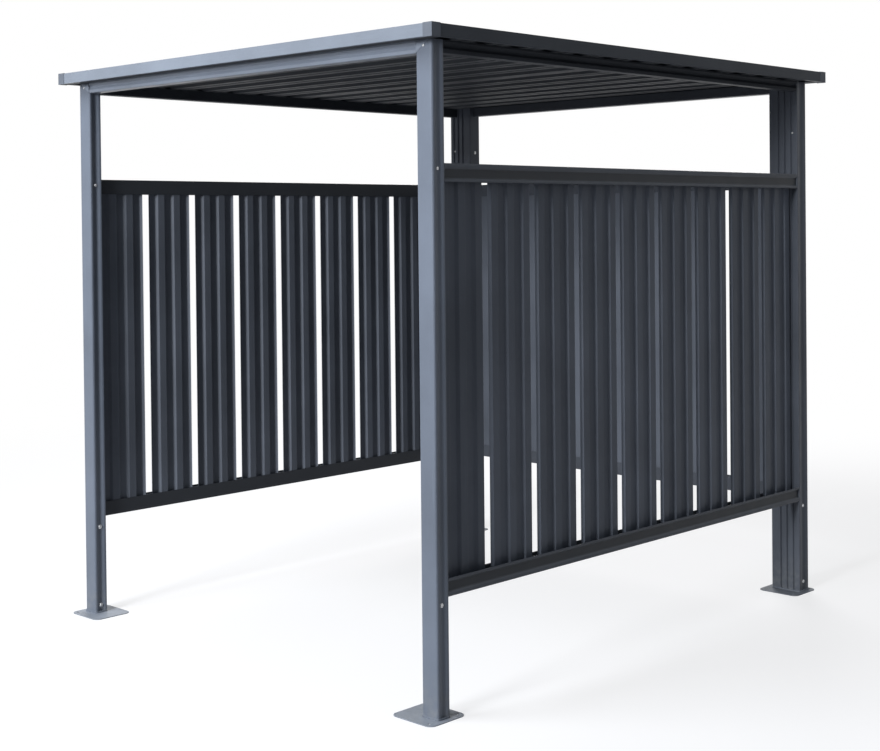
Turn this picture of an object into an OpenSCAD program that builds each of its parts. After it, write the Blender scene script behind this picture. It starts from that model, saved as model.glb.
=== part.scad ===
// Open-fronted bike shelter of folded and painted sheet steel.
// Two slim front posts and two wide back columns stand on foot plates and carry
// four eaves beams, a flat corrugated roof in a fascia, and three slatted walls.
// Millimetres, Z up, the open front faces -Y, origin under the middle of the roof.

/* [Frame] */
// Width of the frame over the posts
frame_w = 1925; // [1500:5:2800]
// Depth of the frame from the front posts to the back columns
frame_d = 2175; // [1600:5:3200]
// Height from the ground to the top of the beams
frame_h = 2068; // [1800:1:2500]

/* [Posts] */
// Width of a front post
post_w = 68; // [55:1:90]
// Depth of a front post
post_d = 52; // [45:1:80]
// Width of a back column
column_w = 128; // [110:1:180]
// Depth of a back column
column_d = 70; // [60:1:100]
// Sheet thickness of the posts and columns
post_t = 2; // [1.5:0.1:3]
// Depth of the long grooves in the posts and columns
post_groove = 6; // [3:0.5:8]
// Width of one of the narrow grooves in the broad faces of a column
column_rib = 14; // [10:1:18]
// Radius of the folds of the posts
post_r = 8; // [4:0.5:9]

/* [Foot plates] */
// Width of a foot plate
foot_w = 175; // [160:1:220]
// Depth of a foot plate
foot_d = 160; // [140:1:200]
// Thickness of a foot plate
foot_t = 3; // [2:0.5:8]
// Corner radius of a foot plate
foot_r = 25; // [8:1:30]
// How far a foot plate reaches past the outer side of its post
foot_reach = 22; // [18:1:30]
// Diameter of an anchor hole
anchor_d = 11; // [8:0.5:14]
// Distance of the anchor holes from the outer edge of the plate
anchor_edge = 24; // [20:1:30]
// Distance between the two anchor holes of a plate
anchor_span = 124; // [120:1:130]

/* [Beams and rails] */
// Depth of the beams and rails across the wall
rail_d = 44; // [38:1:50]
// Height of an eaves beam
beam_h = 40; // [38:1:70]
// Height of a wall rail
rail_h = 57; // [45:1:80]
// Height of the underside of the bottom rails above the ground
bottom_rail_z = 371; // [200:1:600]
// Height of the upper side of the top rails above the ground
top_rail_z = 1694; // [1200:1:1720]
// Sheet thickness of the beams and rails
rail_t = 2; // [1.5:0.1:2.5]
// Depth of the groove in the outer face of the beams and rails
rail_groove = 7; // [3:0.5:7]
// Height of the flat lip above the groove
rail_lip = 6; // [5:1:8]
// Height of the flat foot below the groove
rail_foot = 12; // [10:1:14]
// Height of each slanting side of the groove
rail_slope = 8; // [4:1:8]

/* [Slats] */
// Number of slats in a side wall
side_slats = 9; // [6:1:9]
// Number of slats in the back wall
back_slats = 7; // [5:1:7]
// Gap between two slats of a side wall
slat_gap = 29; // [20:1:45]
// Gap between two slats of the back wall
back_slat_gap = 44; // [20:1:55]
// Free space between the last slat and the post or column beside it
slat_end_gap = 6; // [2:1:20]
// Depth of the corrugation of a slat
slat_depth = 10; // [8:1:20]
// Width of a slanting flank of the corrugation
slat_flank = 8; // [5:1:10]
// Outward ribs of a slat
slat_ribs = 3; // [2:1:4]
// Sheet thickness of a slat
slat_t = 1.5; // [1:0.1:2]
// Clearance between the ends of a slat and the webs of its rails
slat_end_clear = 3; // [2:0.5:8]

/* [Roof] */
// Overhang of the fascia past the frame
overhang = 56; // [30:1:100]
// Height of the roof sheet's ribs
roof_rib_h = 36; // [20:1:50]
// Number of ribs in one of the two roof sheets
roof_ribs = 7; // [5:1:9]
// Width of the flat top of a roof rib
roof_rib_w = 46; // [30:1:60]
// Width of a slanting flank of a roof rib
roof_flank = 18; // [10:1:22]
// Width of the small stiffening bead in a roof valley
roof_bead_w = 16; // [10:1:20]
// Height of that bead
roof_bead_h = 6; // [3:0.5:8]
// Sheet thickness of the roof
roof_t = 1.5; // [1:0.1:2]
// Sheet thickness of the fascia
fascia_t = 1.5; // [1:0.1:2]
// Width of the fascia's top flange
fascia_flange = 60; // [45:1:80]
// Width of the fascia's bottom lip
fascia_lip = 14; // [8:1:20]
// How far the fascia's lip hangs below the top of the beams
fascia_drop = 1; // [0.5:0.5:10]
// Length of a corner cap along each side
cap_w = 38; // [25:1:60]
// Thickness of a corner cap, which stands proud of the fascia
cap_t = 1.5; // [1:0.1:2]

/* [Hidden] */
// Outer faces of the frame
side_x = frame_w / 2;
front_y = -frame_d / 2;
back_y = frame_d / 2;
// Clear runs between the posts and columns
side_run = frame_d - post_d - column_d;
front_run = frame_w - 2 * post_w;
back_run = frame_w - 2 * column_w;
beam_z = frame_h - beam_h;
top_rail_low_z = top_rail_z - rail_h;
// Slats stand in the rails, against the inner flange
slat_end = rail_t + slat_end_clear;
slat_z = bottom_rail_z + slat_end;
slat_h = top_rail_z - bottom_rail_z - 2 * slat_end;
slat_u = rail_d - rail_t;
side_slat_w = (side_run - 2 * slat_end_gap - (side_slats - 1) * slat_gap) / side_slats;
back_slat_w = (back_run - 2 * slat_end_gap - (back_slats - 1) * back_slat_gap) / back_slats;
// Roof
eaves_x = side_x + overhang;
eaves_y = back_y + overhang;
sheet_inset = fascia_lip + 2;
sheet_w = 2 * (eaves_x - sheet_inset);
sheet_d = eaves_y - sheet_inset;
fascia_z = frame_h - fascia_drop;
fascia_h = fascia_drop + roof_rib_h + roof_t + fascia_t;
fold_steps = 3;

// ---- sheet metal outlines -------------------------------------------------

function unit(v) = v / norm(v);
function left_of(v) = [-v[1], v[0]];
function fold_side(p, i) = left_of(unit(p[i + 1] - p[i]));

// Inner corner of a sheet of thickness t at point i of its outer line
function inner_corner(p, i, t) =
    i == 0 ? p[0] + t * fold_side(p, 0) :
    i == len(p) - 1 ? p[i] + t * fold_side(p, i - 1) :
    let (a = fold_side(p, i - 1), b = fold_side(p, i))
    p[i] + t * (a + b) / (1 + a * b);

// Closed outline of a sheet whose thickness lies to the left of the line p
function folded(p, t) =
    concat(p, [for (i = [len(p) - 1:-1:0]) inner_corner(p, i, t)]);

// Closed ring p moved inwards by t, for the bore of a folded tube
function ring_inset(p, t) =
    let (n = len(p))
    [for (i = [0:n - 1])
        let (a = left_of(unit(p[i] - p[(i + n - 1) % n])),
             b = left_of(unit(p[(i + 1) % n] - p[i])))
        p[i] + t * (a + b) / (1 + a * b)];

// Soft bend of radius about r at the point b of a line a-b-c
function bend(a, b, c, r) =
    let (u = unit(a - b), v = unit(c - b),
         turn = acos(max(-1, min(1, -(u * v)))),
         reach = r * tan(turn / 2))
    [for (i = [0:fold_steps])
        let (s = i / fold_steps)
        b + (1 - s) * (1 - s) * reach * u + s * s * reach * v];

// Line p with every inner point bent softly
function bent(p, r) =
    concat([p[0]], [for (i = [1:len(p) - 2]) each bend(p[i - 1], p[i], p[i + 1], r)],
           [p[len(p) - 1]]);

// Shallow groove along a line from a to b, as deep as g to the left of it
function groove(a, b, g, steps = 8) =
    let (inward = left_of(unit(b - a)))
    [for (i = [0:steps]) a + (b - a) * i / steps + inward * g * (1 - cos(360 * i / steps)) / 2];

module tube(outline, t, h) {
    linear_extrude(h)
        difference() {
            polygon(outline);
            polygon(ring_inset(outline, t));
        }
}

// ---- posts, columns and foot plates ----------------------------------------

// Front post with its outer side at +X and its front face at y = 0
function post_outline() =
    concat(
        bend([-post_w, post_d], [-post_w, 0], [0, 0], post_r),
        bend([-post_w, 0], [0, 0], [0, post_d], post_r),
        groove([0, post_r + 1], [0, post_d - 5], post_groove),
        bend([0, 0], [0, post_d], [-post_w, post_d], 3),
        bend([0, post_d], [-post_w, post_d], [-post_w, 0], 3),
        groove([-post_w, post_d - 5], [-post_w, post_r + 1], post_groove)
    );

module front_post() {
    translate([side_x, front_y, foot_t])
        tube(post_outline(), post_t, frame_h - foot_t);
}

// Three narrow grooves along a broad face of a back column, from the corner a to b.
// They start at the share first of the width and are a share step apart.
function column_grooves(a, b, first, step) =
    let (along = unit(b - a), inward = left_of(along), half = column_rib / 2)
    [for (k = [0:2]) each
        let (c = a + (b - a) * (first + k * step))
        [c - along * half, c + along * -half / 2 + inward * post_groove,
         c + along * half / 2 + inward * post_groove, c + along * half]];

// Back column with its outer side at +X and its back face at y = 0
function column_outline() =
    concat(
        bend([-column_w, 0], [-column_w, -column_d], [0, -column_d], 3),
        column_grooves([-column_w, -column_d], [0, -column_d], 0.36, 0.225),
        bend([-column_w, -column_d], [0, -column_d], [0, 0], 3),
        groove([0, -column_d + 5], [0, -post_r - 1], post_groove),
        bend([0, -column_d], [0, 0], [-column_w, 0], post_r),
        column_grooves([0, 0], [-column_w, 0], 0.19, 0.225),
        bend([0, 0], [-column_w, 0], [-column_w, -column_d], post_r)
    );

module back_column() {
    translate([side_x, back_y, foot_t])
        tube(column_outline(), post_t, frame_h - foot_t);
}

// Foot plate with two anchor holes, its outer edge at +X
module foot_plate() {
    x_in = foot_w - 2 * foot_r;
    y_in = foot_d - 2 * foot_r;
    difference() {
        union() {
            translate([-foot_w, -y_in / 2, 0])
                cube([foot_w, y_in, foot_t]);
            translate([foot_r - foot_w, -foot_d / 2, 0])
                cube([x_in, foot_d, foot_t]);
            for (x = [-foot_r, foot_r - foot_w], y = [-y_in / 2, y_in / 2])
                translate([x, y, 0])
                    cylinder(r = foot_r, h = foot_t, $fn = 48);
        }
        for (y = [-anchor_span / 2, anchor_span / 2])
            translate([-anchor_edge, y, -1])
                cylinder(d = anchor_d, h = foot_t + 2, $fn = 32);
    }
}

module front_foot() {
    translate([side_x + foot_reach, front_y + post_d / 2, 0])
        foot_plate();
}

module back_foot() {
    translate([side_x + foot_reach, back_y + foot_reach - foot_d / 2, 0])
        foot_plate();
}

// ---- beams and rails --------------------------------------------------------

// Upright channel of height h, open at the top: [distance from the outer face, height]
function channel_outline(h) =
    folded(bent([[0, h], [0, h - rail_lip], [rail_groove, h - rail_lip - rail_slope],
                 [rail_groove, rail_foot + rail_slope], [0, rail_foot],
                 [0, 0], [rail_d, 0], [rail_d, h]], 2 * rail_t), rail_t);

// Channel along +Y from y = 0 to y = run, its outer face at x = 0 and its body at +X
module channel(h, run) {
    rotate([90, 0, 0])
        mirror([0, 0, 1])
            linear_extrude(run)
                polygon(channel_outline(h));
}

// The same channel upside down, open at the bottom
module channel_down(h, run) {
    translate([0, 0, h])
        mirror([0, 0, 1])
            channel(h, run);
}

// Along the left side, between the front post and the back column
module side_channel(h, down, z) {
    translate([-side_x, front_y + post_d, z])
        if (down) channel_down(h, side_run);
        else channel(h, side_run);
}

// Along the back, between the two columns
module back_channel(h, down, z) {
    translate([-back_run / 2, back_y, z])
        rotate([0, 0, -90])
            if (down) channel_down(h, back_run);
            else channel(h, back_run);
}

module front_beam() {
    painted_post()
        translate([front_run / 2, front_y, beam_z])
            rotate([0, 0, 90])
                channel(beam_h, front_run);
}

// ---- slats -------------------------------------------------------------------

// Corrugated slat of width w: [place along the wall, height of the rib]
function slat_line(w) =
    let (flat = (w - 2 * slat_ribs * slat_flank) / (2 * slat_ribs - 1),
         pitch = 2 * (flat + slat_flank))
    [for (k = [0:slat_ribs - 1]) each
        [[k * pitch, 0], [k * pitch + slat_flank, slat_depth],
         [k * pitch + slat_flank + flat, slat_depth], [k * pitch + 2 * slat_flank + flat, 0]]];

function slat_outline(w) = folded(bent(slat_line(w), 2 * slat_t), -slat_t);

// Slat along +Y, its back against the inner flange of a rail at x = slat_u, ribs to -X
module slat(w) {
    translate([slat_u, 0, slat_z])
        linear_extrude(slat_h)
            polygon([for (p = slat_outline(w)) [-p[1] - slat_t, p[0]]]);
}

module left_slat(k) {
    translate([-side_x, front_y + post_d + slat_end_gap + (k - 1) * (side_slat_w + slat_gap), 0])
        slat(side_slat_w);
}

module back_slat(k) {
    translate([-side_x + column_w + slat_end_gap + (k - 1) * (back_slat_w + back_slat_gap), back_y, 0])
        rotate([0, 0, -90])
            slat(back_slat_w);
}

// ---- roof ---------------------------------------------------------------------

// Lower side of one roof sheet: [place from front to back, height]. A rib stands in the
// middle of each pitch, and a bead stiffens the valley between two ribs.
function roof_rib(x) =
    [[x - roof_rib_w / 2 - roof_flank, 0], [x - roof_rib_w / 2, roof_rib_h],
     [x + roof_rib_w / 2, roof_rib_h], [x + roof_rib_w / 2 + roof_flank, 0]];

function roof_bead(x) =
    [[x - roof_bead_w / 2, 0], [x - roof_bead_w / 5, roof_bead_h],
     [x + roof_bead_w / 5, roof_bead_h], [x + roof_bead_w / 2, 0]];

function roof_line() =
    let (pitch = sheet_d / roof_ribs)
    concat([[0, 0]],
           [for (k = [0:roof_ribs - 1]) each
               concat(roof_rib((k + 0.5) * pitch),
                      k < roof_ribs - 1 ? roof_bead((k + 1) * pitch) : [])],
           [[sheet_d, 0]]);

// Sheet from y = -sheet_d to y = 0
module roof_sheet() {
    translate([-sheet_w / 2, -sheet_d, frame_h])
        rotate([90, 0, 90])
            linear_extrude(sheet_w)
                polygon(folded(roof_line(), roof_t));
}

// Fascia along +Y, its outer face at x = 0, with mitred ends
module fascia(run) {
    profile = [[fascia_flange, fascia_h], [0, fascia_h], [0, 0], [fascia_lip, 0]];
    intersection() {
        translate([0, -run / 2, 0])
            rotate([90, 0, 0])
                mirror([0, 0, 1])
                    linear_extrude(run)
                        polygon(folded(profile, fascia_t));
        translate([0, 0, -1])
            linear_extrude(fascia_h + 2)
                polygon([[0, -run / 2], [run / 2, 0], [0, run / 2]]);
    }
}

module left_fascia() {
    color("#4b5055")
        translate([-eaves_x, 0, fascia_z])
            fascia(2 * eaves_y);
}

module front_fascia() {
    color("#a3adb5")
        translate([0, -eaves_y, fascia_z])
            rotate([0, 0, 90])
                fascia(2 * eaves_x);
}

// Cap over the front right corner of the fascia
module corner_cap() {
    color("#8d969e")
        translate([eaves_x + cap_t - cap_w, -eaves_y - cap_t, fascia_z - cap_t])
            difference() {
                cube([cap_w, cap_w, fascia_h + 2 * cap_t]);
                translate([-1, cap_t, -1])
                    cube([cap_w + 1 - cap_t, cap_w, fascia_h + cap_t + 1]);
            }
}

// ---- whole pieces ---------------------------------------------------------------

module at_left() {
    mirror([1, 0, 0])
        children();
}

module at_back() {
    mirror([0, 1, 0])
        children();
}

module painted_post() {
    color("#7e8792")
        children();
}

module painted_rail() {
    color("#4a4f57")
        children();
}

module painted_slat() {
    color("#50555e")
        children();
}

painted_post() at_left() front_post();  // front_post_left
painted_post() front_post();  // front_post_right
painted_rail() at_left() back_column();  // back_column_left
painted_rail() back_column();  // back_column_right
painted_post() at_left() front_foot();  // foot_plate_front_left
painted_post() front_foot();  // foot_plate_front_right
painted_post() at_left() back_foot();  // foot_plate_back_left
painted_post() back_foot();  // foot_plate_back_right
front_beam();
painted_rail() back_channel(beam_h, false, beam_z);  // back_beam
painted_rail() side_channel(beam_h, false, beam_z);  // left_beam
painted_rail() at_left() side_channel(beam_h, false, beam_z);  // right_beam
painted_rail() side_channel(rail_h, true, top_rail_low_z);  // left_top_rail
painted_rail() side_channel(rail_h, false, bottom_rail_z);  // left_bottom_rail
painted_rail() at_left() side_channel(rail_h, true, top_rail_low_z);  // right_top_rail
painted_rail() at_left() side_channel(rail_h, false, bottom_rail_z);  // right_bottom_rail
painted_rail() back_channel(rail_h, true, top_rail_low_z);  // back_top_rail
painted_rail() back_channel(rail_h, false, bottom_rail_z);  // back_bottom_rail
for (k = [1:side_slats]) {
    painted_slat() left_slat(k);
    painted_slat() at_left() left_slat(k);
}
for (k = [1:back_slats])
    painted_slat() back_slat(k);
color("#3c4046") roof_sheet();  // roof_sheet_front
color("#3c4046") at_back() roof_sheet();  // roof_sheet_back
front_fascia();
at_back() front_fascia();  // back_fascia
left_fascia();
at_left() left_fascia();  // right_fascia
at_left() corner_cap();  // corner_cap_front_left
corner_cap();  // corner_cap_front_right
at_left() at_back() corner_cap();  // corner_cap_back_left
at_back() corner_cap();  // corner_cap_back_right
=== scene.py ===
import math

import bmesh
import bpy
from mathutils import Matrix, Vector


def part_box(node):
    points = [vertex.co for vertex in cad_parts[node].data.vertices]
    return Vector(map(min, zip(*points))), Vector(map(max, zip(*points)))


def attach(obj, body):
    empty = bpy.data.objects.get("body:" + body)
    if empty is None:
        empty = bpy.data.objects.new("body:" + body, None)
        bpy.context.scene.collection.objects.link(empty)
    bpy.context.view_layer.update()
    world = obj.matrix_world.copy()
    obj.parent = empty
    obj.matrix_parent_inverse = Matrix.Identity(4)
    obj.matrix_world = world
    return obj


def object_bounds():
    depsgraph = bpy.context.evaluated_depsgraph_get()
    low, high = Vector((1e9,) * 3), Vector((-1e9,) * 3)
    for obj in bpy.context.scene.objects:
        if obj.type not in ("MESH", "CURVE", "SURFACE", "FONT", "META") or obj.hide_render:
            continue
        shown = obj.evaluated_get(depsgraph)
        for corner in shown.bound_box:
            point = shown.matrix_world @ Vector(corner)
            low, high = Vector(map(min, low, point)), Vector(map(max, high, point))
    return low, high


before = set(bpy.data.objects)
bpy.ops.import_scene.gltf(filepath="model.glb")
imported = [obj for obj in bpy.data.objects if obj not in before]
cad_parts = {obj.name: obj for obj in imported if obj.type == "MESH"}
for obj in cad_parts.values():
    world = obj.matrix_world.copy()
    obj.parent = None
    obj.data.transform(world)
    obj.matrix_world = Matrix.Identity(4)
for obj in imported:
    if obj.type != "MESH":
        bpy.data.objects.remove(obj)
cad_low, cad_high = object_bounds()
scene = bpy.context.scene
scene.view_settings.view_transform = "Standard"

# ---- Camera ------------------------------------------------------------------
# It stands off the front right corner at the height of a person's eyes, almost
# level, and looks past the near post into the bay.
shelter_width = cad_high.x - cad_low.x
shelter_depth = cad_high.y - cad_low.y
eye_height = 1.514
camera_data = bpy.data.cameras.new("camera")
camera_data.sensor_width = 36
camera_data.lens = 60.7
camera_data.shift_y = -0.150
camera = bpy.data.objects.new("camera", camera_data)
scene.collection.objects.link(camera)
camera.location = (2.002 * shelter_width, -1.873 * shelter_depth, eye_height)
camera_yaw = math.radians(44.02)
camera_dip = math.radians(0.82)
camera_roll = math.radians(-0.56)
camera.rotation_euler = (
    Matrix.Rotation(camera_yaw, 3, "Z")
    @ Matrix.Rotation(math.pi / 2 - camera_dip, 3, "X")
    @ Matrix.Rotation(camera_roll, 3, "Z")
).to_euler()
scene.camera = camera

# ---- Floor and surround ------------------------------------------------------
# A pale studio floor that turns into the white surround a few metres out, so that
# only the soft shadow near the shelter shows on it.
def seen_or_lit(nodes, links, for_light, for_sight):
    """Mixes two shaders: one for light that bounces, one for what the eye or a gloss sees."""
    rays = nodes.new("ShaderNodeLightPath")
    camera_or_glossy = nodes.new("ShaderNodeMath")
    camera_or_glossy.operation = "MAXIMUM"
    links.new(rays.outputs["Is Camera Ray"], camera_or_glossy.inputs[0])
    links.new(rays.outputs["Is Glossy Ray"], camera_or_glossy.inputs[1])
    or_through = nodes.new("ShaderNodeMath")
    or_through.operation = "MAXIMUM"
    links.new(camera_or_glossy.outputs[0], or_through.inputs[0])
    links.new(rays.outputs["Is Transmission Ray"], or_through.inputs[1])
    by_ray = nodes.new("ShaderNodeMixShader")
    links.new(or_through.outputs[0], by_ray.inputs["Fac"])
    links.new(for_light, by_ray.inputs[1])
    links.new(for_sight, by_ray.inputs[2])
    return by_ray.outputs["Shader"]


floor_reach = 60
fade_start = 2.6
fade_end = 6.5
bpy.ops.object.select_all(action="DESELECT")
bpy.ops.mesh.primitive_plane_add(size=floor_reach, location=(0, 0, 0))
floor = bpy.context.object
floor.name = "studio_floor"
bpy.ops.object.mode_set(mode="EDIT")
bpy.ops.mesh.select_all(action="SELECT")
bpy.ops.mesh.subdivide(number_cuts=5)
bpy.ops.object.mode_set(mode="OBJECT")
floor_paint = bpy.data.materials.new("studio_floor")
floor_paint.use_nodes = True
nodes, links = floor_paint.node_tree.nodes, floor_paint.node_tree.links
nodes.remove(nodes["Principled BSDF"])
plain = nodes.new("ShaderNodeBsdfDiffuse")
plain.inputs["Color"].default_value = (0.30, 0.30, 0.31, 1)
glow = nodes.new("ShaderNodeEmission")
glow.inputs["Color"].default_value = (1, 1, 1, 1)
glow.inputs["Strength"].default_value = 0.70
lit = nodes.new("ShaderNodeAddShader")
links.new(plain.outputs["BSDF"], lit.inputs[0])
links.new(glow.outputs["Emission"], lit.inputs[1])
surround = nodes.new("ShaderNodeEmission")
surround.inputs["Color"].default_value = (1, 1, 1, 1)
away = nodes.new("ShaderNodeVectorMath")
away.operation = "LENGTH"
links.new(nodes.new("ShaderNodeTexCoord").outputs["Object"], away.inputs[0])
fade = nodes.new("ShaderNodeMapRange")
fade.interpolation_type = "SMOOTHSTEP"
fade.inputs["From Min"].default_value = fade_start
fade.inputs["From Max"].default_value = fade_end
links.new(away.outputs["Value"], fade.inputs["Value"])
seen_floor = nodes.new("ShaderNodeMixShader")
links.new(fade.outputs["Result"], seen_floor.inputs["Fac"])
links.new(lit.outputs["Shader"], seen_floor.inputs[1])
links.new(surround.outputs["Emission"], seen_floor.inputs[2])
floor_shader = seen_or_lit(nodes, links, plain.outputs["BSDF"], seen_floor.outputs["Shader"])
links.new(floor_shader, nodes["Material Output"].inputs["Surface"])
floor.data.materials.append(floor_paint)

world = bpy.data.worlds.new("studio")
scene.world = world
world.use_nodes = True
nodes, links = world.node_tree.nodes, world.node_tree.links
white = nodes.new("ShaderNodeBackground")
white.inputs["Color"].default_value = (1, 1, 1, 1)
fill = nodes["Background"]
fill.inputs["Color"].default_value = (0.84, 0.91, 1.0, 1)
fill.inputs["Strength"].default_value = 0.19
world_shader = seen_or_lit(nodes, links, fill.outputs["Background"], white.outputs["Background"])
links.new(world_shader, nodes["World Output"].inputs["Surface"])

# ---- Lamps -------------------------------------------------------------------
# A far soft box in front of the open side grazes both walls, a near one high at the
# left brightens the top of the front, and a weak one stands behind. All three face the
# middle of the shelter.
lamp_aim = Vector((0, 0, 1.1))
for lamp_name, place, reach, watts, tint in (
    ("soft_box_front", (1.3, -12.0, 4.4), 3.0, 1500, (0.95, 0.97, 1.0)),
    ("soft_box_left", (-0.9, -3.5, 5.0), 2.2, 210, (0.92, 0.96, 1.0)),
    ("soft_box_back", (-5.0, 7.0, 4.6), 4.0, 520, (1.0, 0.98, 0.96)),
):
    lamp_data = bpy.data.lights.new(lamp_name, "AREA")
    lamp_data.shape = "SQUARE"
    lamp_data.size = reach
    lamp_data.energy = watts
    lamp_data.color = tint
    lamp = bpy.data.objects.new(lamp_name, lamp_data)
    scene.collection.objects.link(lamp)
    lamp.location = place
    lamp.rotation_euler = (lamp_aim - lamp.location).to_track_quat("-Z", "Y").to_euler()


# ---- Front posts -------------------------------------------------------------
# Two slim box posts, folded from galvanised sheet and powder coated in slate grey.
# The coat has a fine orange peel, long faint roller marks and some dust at the foot.
# They stand on their foot plates and carry the front beam.
def powder_coat(name, colour, roughness, sheen, dust_height, grain_along, groove_shade=None):
    """Powder coat on folded sheet. sheen is the specular level, dust_height how far up the
    dust reaches, and grain_along the axis that the roller marks follow.

    The last argument is (axis, reach of the outer face, share): behind the outer face the
    colour is darkened to that share, as painted shade in the grooves.
    """
    material = bpy.data.materials.new(name)
    material.use_nodes = True
    nodes, links = material.node_tree.nodes, material.node_tree.links
    shader = nodes["Principled BSDF"]
    place = nodes.new("ShaderNodeTexCoord").outputs["Object"]

    def noise(scale, detail, stretch=(1, 1, 1)):
        turned = nodes.new("ShaderNodeMapping")
        turned.inputs["Scale"].default_value = stretch
        links.new(place, turned.inputs["Vector"])
        made = nodes.new("ShaderNodeTexNoise")
        made.inputs["Scale"].default_value = scale
        made.inputs["Detail"].default_value = detail
        links.new(turned.outputs["Vector"], made.inputs["Vector"])
        return made.outputs["Fac"]

    def spread(value, low, high, to_low, to_high):
        made = nodes.new("ShaderNodeMapRange")
        made.inputs["From Min"].default_value = low
        made.inputs["From Max"].default_value = high
        made.inputs["To Min"].default_value = to_low
        made.inputs["To Max"].default_value = to_high
        links.new(value, made.inputs["Value"])
        return made.outputs["Result"]

    def blend(factor, below, above):
        made = nodes.new("ShaderNodeMix")
        made.data_type = "RGBA"
        links.new(factor, made.inputs["Factor"])
        for socket, shade in (("A", below), ("B", above)):
            if isinstance(shade, tuple):
                made.inputs[socket].default_value = (*shade, 1)
            else:
                links.new(shade, made.inputs[socket])
        return made.outputs["Result"]

    def times(value, other):
        made = nodes.new("ShaderNodeMath")
        made.operation = "MULTIPLY"
        links.new(value, made.inputs[0])
        if isinstance(other, float):
            made.inputs[1].default_value = other
        else:
            links.new(other, made.inputs[1])
        return made.outputs["Value"]

    darker = tuple(c * 0.84 for c in colour)
    lighter = tuple(c * 1.14 for c in colour)
    clouds = spread(noise(3.1, 5), 0.32, 0.68, 0.0, 1.0)
    shade = blend(clouds, darker, lighter)
    # Fine pigment fleck of the powder
    fleck = spread(noise(1300, 2), 0.42, 0.75, 0.0, 0.55)
    shade = blend(fleck, shade, tuple(c * 1.35 + 0.006 for c in colour))
    # Long marks of the rollers and of handling
    stretch = tuple(0.03 if axis == grain_along else 1.0 for axis in "XYZ")
    marks = spread(noise(260, 3, stretch), 0.60, 0.78, 0.0, 0.5)
    shade = blend(marks, shade, tuple(c * 1.28 + 0.004 for c in colour))
    # Dust and dried splashes near the ground
    apart = nodes.new("ShaderNodeSeparateXYZ")
    links.new(place, apart.inputs["Vector"])
    low = spread(apart.outputs["Z"], 0.0, dust_height, 0.5, 0.0)
    splashes = spread(noise(38, 6), 0.40, 0.66, 0.15, 1.0)
    dust = times(low, splashes)
    shade = blend(dust, shade, (0.22, 0.225, 0.225))
    # Painted shade: the colour is darker behind the outer face, in the grooves.
    if groove_shade:
        axis, outer_face, share = groove_shade
        reach = nodes.new("ShaderNodeMath")
        reach.operation = "ABSOLUTE"
        links.new(apart.outputs[axis], reach.inputs[0])
        groove_painted_shade = spread(reach.outputs["Value"], outer_face - 0.0062, outer_face - 0.0022, 1.0, 0.0)
        shade = blend(groove_painted_shade, shade, tuple(c * share for c in colour))
    links.new(shade, shader.inputs["Base Color"])

    rough = spread(noise(17, 4), 0.3, 0.7, roughness - 0.05, roughness + 0.06)
    worn = nodes.new("ShaderNodeMath")
    worn.operation = "ADD"
    worn.use_clamp = True
    links.new(rough, worn.inputs[0])
    links.new(times(dust, 0.35), worn.inputs[1])
    links.new(worn.outputs["Value"], shader.inputs["Roughness"])
    shader.inputs["Specular IOR Level"].default_value = sheen

    # Slight oil-canning of the sheet under the orange peel of the coat
    waves = nodes.new("ShaderNodeBump")
    waves.inputs["Strength"].default_value = 0.35
    waves.inputs["Distance"].default_value = 0.004
    drawn_out = tuple(0.35 if axis == grain_along else 1.0 for axis in "XYZ")
    links.new(noise(5.5, 2, drawn_out), waves.inputs["Height"])
    peel = nodes.new("ShaderNodeBump")
    peel.inputs["Strength"].default_value = 0.22
    peel.inputs["Distance"].default_value = 0.0006
    links.new(noise(520, 2), peel.inputs["Height"])
    links.new(waves.outputs["Normal"], peel.inputs["Normal"])
    links.new(peel.outputs["Normal"], shader.inputs["Normal"])
    return material


def finish_nodes(material, *names):
    """Gives CAD nodes their finish."""
    for name in names:
        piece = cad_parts[name]
        piece.data.materials.clear()
        piece.data.materials.append(material)


# The rain splashes dust up the members to splash_height. Everything else has a mere
# film of it near the ground, which only the foot plates are low enough to show.
splash_height = 0.16
dust_film = 0.01
slate = (0.114, 0.133, 0.168)
post_coat = powder_coat(
    "post_paint", slate,
    roughness=0.42, sheen=0.28, dust_height=splash_height, grain_along="Z",
)
finish_nodes(post_coat, "front_post_left", "front_post_right")

# ---- Back columns ------------------------------------------------------------
# Wider columns with three pressed grooves in their broad faces, of the same sheet
# and powder, which stand at the back corners and carry the back wall between them.
column_grey = (0.088, 0.098, 0.118)
column_coat = powder_coat(
    "column_paint", column_grey,
    roughness=0.44, sheen=0.18, dust_height=splash_height, grain_along="Z",
)
finish_nodes(column_coat, "back_column_left", "back_column_right")

# ---- Foot plates -------------------------------------------------------------
# Plates of 3 mm steel with rounded corners, welded under the posts and coated with
# them. The front ones are painted paler as a painted highlight, the back ones darker as painted
# shade and duller.
# Painted highlight: the front plates are paler than the posts' paint.
plate_grey_painted_highlight = (0.215, 0.240, 0.284)
plate_coat = powder_coat(
    "plate_paint", plate_grey_painted_highlight,
    roughness=0.38, sheen=0.45, dust_height=dust_film, grain_along="X",
)
finish_nodes(plate_coat, "foot_plate_front_left", "foot_plate_front_right")
# Painted shade: the back plates are darker than the front ones.
plate_grey_painted_shade = (0.165, 0.182, 0.212)
back_plate_shaded_coat = powder_coat(
    "dull_plate_paint", plate_grey_painted_shade,
    roughness=0.55, sheen=0.06, dust_height=dust_film, grain_along="X",
)
finish_nodes(back_plate_shaded_coat, "foot_plate_back_left", "foot_plate_back_right")
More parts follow.
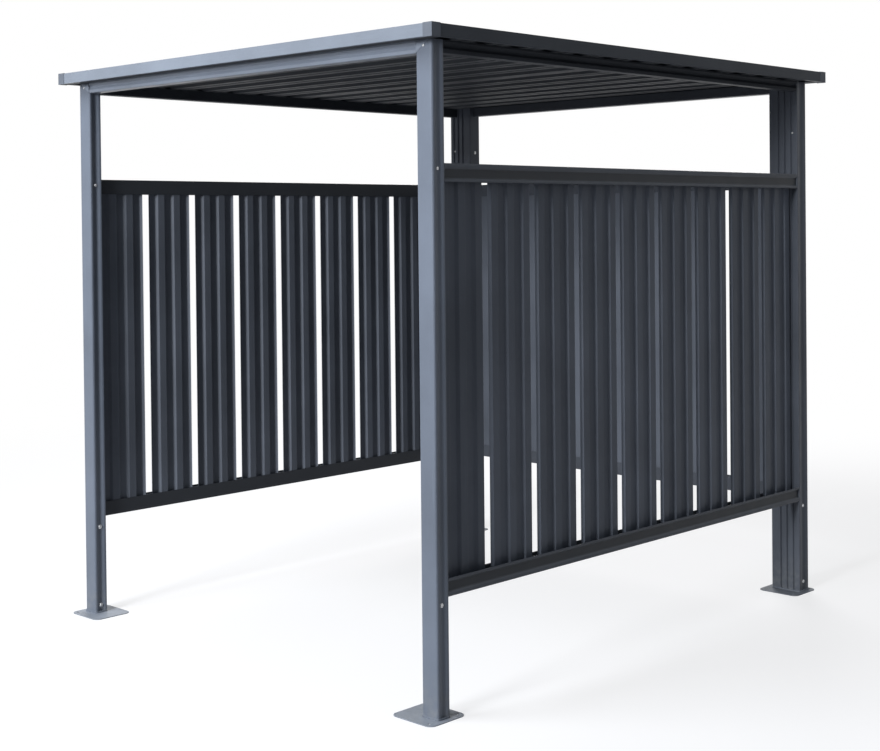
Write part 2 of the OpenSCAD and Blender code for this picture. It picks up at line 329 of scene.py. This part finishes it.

# ---- Eaves beams and wall rails ----------------------------------------------
# Roll-formed channels with a long groove in the outer face. The beams close the top
# of the frame, and the rails hold the slats between the posts.
# Painted light: the front beam's paint is lighter than the posts' slate, for the light on the front.
front_beam_lit_grey = (0.158, 0.182, 0.224)
front_beam_lit_coat = powder_coat(
    "front_beam_paint", front_beam_lit_grey,
    roughness=0.40, sheen=0.4, dust_height=dust_film, grain_along="X",
)
finish_nodes(front_beam_lit_coat, "front_beam")
anthracite = (0.062, 0.069, 0.083)
cross_coat = powder_coat(
    "cross_rail_paint", anthracite,
    roughness=0.40, sheen=0.15, dust_height=dust_film, grain_along="X",
)
finish_nodes(cross_coat, "back_beam", "back_top_rail", "back_bottom_rail")
rail_grey = (0.090, 0.100, 0.118)
# The side rails get painted shade in the recess of their outer groove.
rail_face_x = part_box("right_top_rail")[1].x
rail_groove_shade = ("X", rail_face_x, 0.42)
rail_coat = powder_coat(
    "side_rail_paint", rail_grey,
    roughness=0.40, sheen=0.15, dust_height=dust_film, grain_along="Y", groove_shade=rail_groove_shade,
)
finish_nodes(
    rail_coat, "left_top_rail", "left_bottom_rail", "right_top_rail", "right_bottom_rail"
)
# Painted shade: the side beams are painted dark for the shade under the fascia overhang.
long_beam_shaded_grey = (0.040, 0.044, 0.052)
long_beam_shaded_coat = powder_coat(
    "long_beam_paint", long_beam_shaded_grey,
    roughness=0.46, sheen=0.03, dust_height=dust_film, grain_along="Y",
)
finish_nodes(long_beam_shaded_coat, "left_beam", "right_beam")

# ---- Slats -------------------------------------------------------------------
# Upright strips of thin coil-coated steel with three pressed ribs. They stand in the
# rails. Each batch differs a little in shade, and the right wall gets the lighter ones as painted
# light.
slat_names = [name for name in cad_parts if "_slat_" in name]
slat_grey = (0.106, 0.118, 0.142)
slat_coats = []
for k, tone in enumerate((0.92, 0.99, 1.06, 1.14, 1.22)):
    batch_grey = tuple(c * tone for c in slat_grey)
    slat_coats.append(
        powder_coat(
            f"slat_paint_{k}", batch_grey,
            roughness=0.38, sheen=0.10, dust_height=dust_film, grain_along="Z",
        )
    )
# Painted light: the right wall's slats take the three lighter tones.
for k, name in enumerate(sorted(slat_names)):
    first_batch_painted_lighter = 2 if name.startswith("right") else 0
    finish_nodes(slat_coats[first_batch_painted_lighter + (k * 7 + k // 3) % 3], name)

# ---- Roof sheets -------------------------------------------------------------
# Two trapezoid sheets of thin coil-coated steel, their ribs from side to side. They lie
# on the beams, lap at the middle and are dull, and are painted dark all over as painted shade of the
# underside.
roof_grey_painted_shade = (0.060, 0.064, 0.071)
roof_coat = powder_coat(
    "roof_paint", roof_grey_painted_shade,
    roughness=0.52, sheen=0.05, dust_height=dust_film, grain_along="X",
)
finish_nodes(roof_coat, "roof_sheet_front", "roof_sheet_back")

# ---- Fascia ------------------------------------------------------------------
# Folded edge trim, mitred at the corners. It covers the ends of the roof sheets and is
# screwed down on their ribs.
# Painted light and shade: the front and back trim are painted lighter, the side trim darker, for the
# light that falls on them.
front_trim_lit_grey = (0.152, 0.173, 0.208)
side_trim_shaded_grey = (0.055, 0.062, 0.074)
fascia_cross = powder_coat(
    "fascia_cross_paint", front_trim_lit_grey,
    roughness=0.40, sheen=0.35, dust_height=dust_film, grain_along="X",
)
fascia_long = powder_coat(
    "fascia_long_paint", side_trim_shaded_grey,
    roughness=0.42, sheen=0.10, dust_height=dust_film, grain_along="Y",
)
finish_nodes(fascia_cross, "front_fascia", "back_fascia")
finish_nodes(fascia_long, "left_fascia", "right_fascia")

# ---- Corner caps -------------------------------------------------------------
# Moulded plastic caps that clip over the mitred corners of the fascia and close the
# raw edges there.
cap_grey = (0.098, 0.110, 0.132)
cap_finish = powder_coat(
    "cap_plastic", cap_grey,
    roughness=0.5, sheen=0.2, dust_height=dust_film, grain_along="Z",
)
finish_nodes(
    cap_finish,
    "corner_cap_front_left",
    "corner_cap_front_right",
    "corner_cap_back_left",
    "corner_cap_back_right",
)

# ---- Screws of the posts and columns -----------------------------------------
# Domed zinc-plated screws with a round washer, driven through the posts into the
# ends of the rails and beams.
zinc = bpy.data.materials.new("fixings")
zinc.use_nodes = True
nodes, links = zinc.node_tree.nodes, zinc.node_tree.links
shader = nodes["Principled BSDF"]
shader.inputs["Metallic"].default_value = 0.9
place = nodes.new("ShaderNodeTexCoord").outputs["Object"]
spangle = nodes.new("ShaderNodeTexNoise")
spangle.inputs["Scale"].default_value = 420
spangle.inputs["Detail"].default_value = 4
links.new(place, spangle.inputs["Vector"])
tone = nodes.new("ShaderNodeValToRGB")
tone.color_ramp.elements[0].position = 0.35
tone.color_ramp.elements[0].color = (0.36, 0.37, 0.38, 1)
tone.color_ramp.elements[1].position = 0.66
tone.color_ramp.elements[1].color = (0.66, 0.67, 0.68, 1)
links.new(spangle.outputs["Fac"], tone.inputs["Fac"])
links.new(tone.outputs["Color"], shader.inputs["Base Color"])
dull = nodes.new("ShaderNodeMapRange")
dull.inputs["To Min"].default_value = 0.26
dull.inputs["To Max"].default_value = 0.52
links.new(spangle.outputs["Fac"], dull.inputs["Value"])
links.new(dull.outputs["Result"], shader.inputs["Roughness"])
pits = nodes.new("ShaderNodeBump")
pits.inputs["Strength"].default_value = 0.3
pits.inputs["Distance"].default_value = 0.0002
links.new(spangle.outputs["Fac"], pits.inputs["Height"])
links.new(pits.outputs["Normal"], shader.inputs["Normal"])


def choose_faces(piece, wanted):
    """Selects the faces of the piece in edit mode for which wanted(face) holds."""
    shape = bmesh.from_edit_mesh(piece.data)
    for face in shape.faces:
        face.select_set(False)
    for face in shape.faces:
        if wanted(face):
            face.select_set(True)
    bmesh.update_edit_mesh(piece.data)


def facing_out(x, y, z):
    """Turn that takes +Z to the given direction."""
    return Vector((0, 0, 1)).rotation_difference(Vector((x, y, z))).to_matrix().to_4x4()


bpy.ops.object.select_all(action="DESELECT")
dome_reach = 0.0068
bpy.ops.mesh.primitive_cylinder_add(
    vertices=24, radius=dome_reach, depth=0.0014, location=(0, 0, 0)
)
domed_pattern = bpy.context.object
bpy.ops.object.mode_set(mode="EDIT")
bpy.ops.mesh.select_mode(type="FACE")
choose_faces(domed_pattern, lambda face: face.normal.z > 0.9)
for inward, upward in (
    (0.12, 0.0002),
    (0.14, 0.0),
    (0.02, 0.0012),
    (0.13, 0.0011),
    (0.17, 0.0006),
    (0.08, 0.0),
    (0.02, -0.0016),
):
    bpy.ops.mesh.inset(thickness=inward * dome_reach, depth=upward)
bpy.ops.object.mode_set(mode="OBJECT")


def fitted_copy(pattern, place, out=(0, 0, 1), share=1.0):
    """A copy of a pattern with its own mesh, at its place, its +Z turned outwards."""
    piece = pattern.copy()
    piece.data = pattern.data.copy()
    scene.collection.objects.link(piece)
    piece.data.transform(Matrix.Translation(place) @ facing_out(*out) @ Matrix.Scale(share, 4))
    return piece


def join_pieces(name, pieces, material):
    """Joins pieces that share a finish and lets them ride with the shelter."""
    bpy.ops.object.select_all(action="DESELECT")
    for piece in pieces:
        piece.select_set(True)
    bpy.context.view_layer.objects.active = pieces[0]
    if len(pieces) > 1:
        bpy.ops.object.join()
    joined = bpy.context.object
    joined.name = name
    bpy.ops.object.shade_smooth_by_angle(angle=math.radians(35))
    joined.data.materials.clear()
    joined.data.materials.append(material)
    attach(joined, "root")
    return joined


# The washers bite on the sloping sides of the grooves, or lie on the plain faces
groove_seat = 0.0047
plain_seat = 0.0006
groove_floor = 0.0050
column_groove_in = 0.0243
smallest_head = 0.62
small_head = 0.75
large_head = 1.25
post_foot_screw_z = 0.030
column_foot_screw_z = 0.040
below_sill = 0.022
beam_screw_up = 0.18
groove_screw_up = 0.19
for side, way in (("left", -1), ("right", 1)):
    post_low, post_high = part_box(f"front_post_{side}")
    column_low, column_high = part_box(f"back_column_{side}")
    rail_low, rail_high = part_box(f"{side}_top_rail")
    outer_x = post_high.x if way > 0 else post_low.x
    inner_x = post_low.x if way > 0 else post_high.x
    column_inner_x = column_low.x if way > 0 else column_high.x
    groove_x = outer_x - way * groove_seat
    inner_groove_x = inner_x + way * groove_seat
    column_plain_x = column_inner_x - way * plain_seat
    column_groove_x = outer_x - way * column_groove_in
    column_groove_y = column_low.y + groove_floor - plain_seat
    post_y = (post_low.y + post_high.y) / 2
    column_y = (column_low.y + column_high.y) / 2
    rail_z = (rail_low.z + rail_high.z) / 2 + 0.006
    sill_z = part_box(f"{side}_bottom_rail")[0].z - below_sill
    outwards = (way, 0, 0)
    inwards = (-way, 0, 0)
    forwards = (0, -1, 0)
    heads = []
    for place, out, share in (
        ((groove_x, post_y, rail_z + 0.006), outwards, small_head),
        ((groove_x, post_y, sill_z), outwards, 1.0),
        ((inner_groove_x, post_y, rail_z), inwards, 1.0),
        ((inner_groove_x, post_y, sill_z - 0.012), inwards, large_head),
        ((inner_groove_x, post_y, post_foot_screw_z), inwards, large_head),
        ((groove_x, column_y, sill_z), outwards, 1.0),
        ((groove_x, column_y, column_foot_screw_z), outwards, 1.0),
        ((column_plain_x, column_y, rail_z + beam_screw_up), inwards, 1.0),
        ((column_groove_x, column_groove_y, rail_z + groove_screw_up), forwards, smallest_head),
    ):
        heads.append(fitted_copy(domed_pattern, place, out, share))
    join_pieces(f"frame_screws_{side}", heads, zinc)

# ---- Lap plates of the front corners -----------------------------------------
# The end of the front beam's face laps over each post as a small mitred plate of the
# same sheet, held by one small domed screw.
lap_thickness = 0.0014
lap_seat = 0.0006
lap_screw_seat = 0.0015
lap_screw_drop = 0.018
lap_head = 0.64
mitre_share = 0.82
lap_pieces = []
lap_screws = []
for side, way in (("left", -1), ("right", 1)):
    post_low, post_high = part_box(f"front_post_{side}")
    beam_low, beam_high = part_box("front_beam")
    post_w = post_high.x - post_low.x
    lap_h = beam_high.z - beam_low.z
    bpy.ops.object.select_all(action="DESELECT")
    bpy.ops.mesh.primitive_cube_add(size=1, location=(0, 0, 0))
    lap = bpy.context.object
    lap.data.transform(Matrix.Diagonal((post_w - 0.003, lap_thickness, lap_h - 0.002, 1)))
    lap_x = (post_low.x + post_high.x) / 2
    lap_place = (lap_x, post_low.y - lap_seat, (beam_low.z + beam_high.z) / 2)
    lap.data.transform(Matrix.Translation(lap_place))
    bpy.ops.object.mode_set(mode="EDIT")
    bpy.ops.mesh.select_all(action="SELECT")
    mitre_foot = Vector((post_low.x if way > 0 else post_high.x, post_low.y, beam_low.z))
    mitre_slope = (way * lap_h, 0, -post_w * mitre_share)
    bpy.ops.mesh.bisect(
        plane_co=mitre_foot, plane_no=mitre_slope, use_fill=True, clear_outer=True
    )
    bpy.ops.mesh.select_all(action="SELECT")
    bpy.ops.mesh.bevel(offset=0.0004, segments=2, affect="EDGES")
    bpy.ops.mesh.select_all(action="SELECT")
    bpy.ops.mesh.normals_make_consistent(inside=False)
    bpy.ops.object.mode_set(mode="OBJECT")
    lap_pieces.append(lap)
    screw_place = (lap_x, post_low.y - lap_screw_seat, beam_high.z - lap_screw_drop)
    lap_screws.append(fitted_copy(domed_pattern, screw_place, (0, -1, 0), lap_head))
# The lap plates take the front beam's paint, lightened as painted light.
join_pieces("lap_plates", lap_pieces, front_beam_lit_coat)
join_pieces("lap_screws", lap_screws, zinc)

# ---- Screws of the roof ------------------------------------------------------
# Hexagon roofing screws with sealing washers hold the sheets down on the side beams,
# beside the bead of each valley, and flat wafer heads hold the fascia on the ribs.
washer_reach = 0.0078
bpy.ops.object.select_all(action="DESELECT")
bpy.ops.mesh.primitive_cylinder_add(
    vertices=24, radius=washer_reach, depth=0.0016, location=(0, 0, 0)
)
hexagon_pattern = bpy.context.object
bpy.ops.object.mode_set(mode="EDIT")
bpy.ops.mesh.select_mode(type="FACE")
choose_faces(hexagon_pattern, lambda face: face.normal.z > 0.9)
bpy.ops.mesh.inset(thickness=0.22 * washer_reach, depth=0.0008)
bpy.ops.mesh.select_all(action="DESELECT")
bpy.ops.mesh.primitive_cylinder_add(vertices=6, radius=0.0046, depth=0.0044, location=(0, 0, 0.0028))
choose_faces(
    hexagon_pattern, lambda face: face.normal.z > 0.9 and face.calc_center_median().z > 0.004
)
bpy.ops.mesh.bevel(offset=0.0006, segments=2, affect="EDGES")
bpy.ops.object.mode_set(mode="OBJECT")

bpy.ops.object.select_all(action="DESELECT")
bpy.ops.mesh.primitive_cylinder_add(vertices=20, radius=0.0055, depth=0.0006, location=(0, 0, 0))
wafer_pattern = bpy.context.object
bpy.ops.object.mode_set(mode="EDIT")
bpy.ops.mesh.select_mode(type="FACE")
choose_faces(wafer_pattern, lambda face: face.normal.z > 0.9)
bpy.ops.mesh.inset(thickness=0.0014, depth=0.0005)
bpy.ops.mesh.inset(thickness=0.0018, depth=0.0002)
bpy.ops.mesh.inset(thickness=0.0004, depth=-0.0008)
bpy.ops.object.mode_set(mode="OBJECT")

sheet_low, sheet_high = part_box("roof_sheet_front")
fascia_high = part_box("right_fascia")[1]
side_beam_low, side_beam_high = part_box("right_beam")
ribs_in_sheet = 7
rib_step = (sheet_high.y - sheet_low.y) / ribs_in_sheet
beside_bead = 0.0237
washer_seat = 0.0023
wafer_seat = 0.0002
trim_screw_in = 0.034
trim_x = fascia_high.x - trim_screw_in
beam_middle_x = (side_beam_low.x + side_beam_high.x) / 2
roof_screws = []
trim_screws = []
for side in (-1, 1):
    for k in range(2 * ribs_in_sheet):
        rib_y = sheet_low.y + (k + 0.5) * rib_step
        trim_place = (side * trim_x, rib_y, fascia_high.z + wafer_seat)
        trim_screws.append(fitted_copy(wafer_pattern, trim_place))
        # No screw in the lap of the two sheets or in the last half valley
        if k % ribs_in_sheet != ribs_in_sheet - 1:
            valley_y = rib_y + rib_step / 2 + beside_bead
            roof_place = (side * beam_middle_x, valley_y, sheet_low.z + washer_seat)
            roof_screws.append(fitted_copy(hexagon_pattern, roof_place))
join_pieces("roof_screws", roof_screws, zinc)
join_pieces("trim_screws", trim_screws, zinc)
for pattern in (domed_pattern, hexagon_pattern, wafer_pattern):
    bpy.data.objects.remove(pattern)

# ---- Welds at the feet -------------------------------------------------------
# A fillet weld runs round each post and column where it stands on its foot plate,
# ground back a little and coated with the frame.
weld_coat = powder_coat(
    "weld_paint", slate,
    roughness=0.5, sheen=0.28, dust_height=0.05, grain_along="X",
)
nodes, links = weld_coat.node_tree.nodes, weld_coat.node_tree.links
ripples = nodes.new("ShaderNodeTexNoise")
ripples.inputs["Scale"].default_value = 190
ripples.inputs["Detail"].default_value = 3
links.new(nodes["Texture Coordinate"].outputs["Object"], ripples.inputs["Vector"])
beads = nodes.new("ShaderNodeBump")
beads.inputs["Strength"].default_value = 0.9
beads.inputs["Distance"].default_value = 0.0016
links.new(ripples.outputs["Fac"], beads.inputs["Height"])
links.new(beads.outputs["Normal"], nodes["Principled BSDF"].inputs["Normal"])
throat = 0.0030
weld_corner = 0.009
weld_steps = ((0.0012, 0.0006), (0.0014, 0.0014))
weld_pieces = []
for member in ("front_post_left", "front_post_right", "back_column_left", "back_column_right"):
    low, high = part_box(member)
    bpy.ops.object.select_all(action="DESELECT")
    bpy.ops.mesh.primitive_cube_add(size=1, location=(0, 0, 0))
    bead = bpy.context.object
    bead_w = high.x - low.x + 2 * throat
    bead_d = high.y - low.y + 2 * throat
    bead.data.transform(Matrix.Diagonal((bead_w, bead_d, throat, 1)))
    bead_place = ((low.x + high.x) / 2, (low.y + high.y) / 2, low.z + throat / 2)
    bead.data.transform(Matrix.Translation(bead_place))
    bpy.ops.object.mode_set(mode="EDIT")
    bpy.ops.mesh.select_mode(type="EDGE")
    bpy.ops.mesh.select_all(action="DESELECT")
    shape = bmesh.from_edit_mesh(bead.data)
    for edge in shape.edges:
        upright = abs(edge.verts[0].co.z - edge.verts[1].co.z) > throat / 2
        edge.select_set(upright)
    bmesh.update_edit_mesh(bead.data)
    bpy.ops.mesh.bevel(offset=weld_corner, segments=5, affect="EDGES")
    bpy.ops.mesh.select_mode(type="FACE")
    choose_faces(bead, lambda face: face.normal.z > 0.9)
    for inward, upward in weld_steps:
        bpy.ops.mesh.inset(thickness=inward, depth=0)
        bpy.ops.transform.translate(value=(0, 0, upward))
    bpy.ops.object.mode_set(mode="OBJECT")
    weld_pieces.append(bead)
join_pieces("foot_welds", weld_pieces, weld_coat)
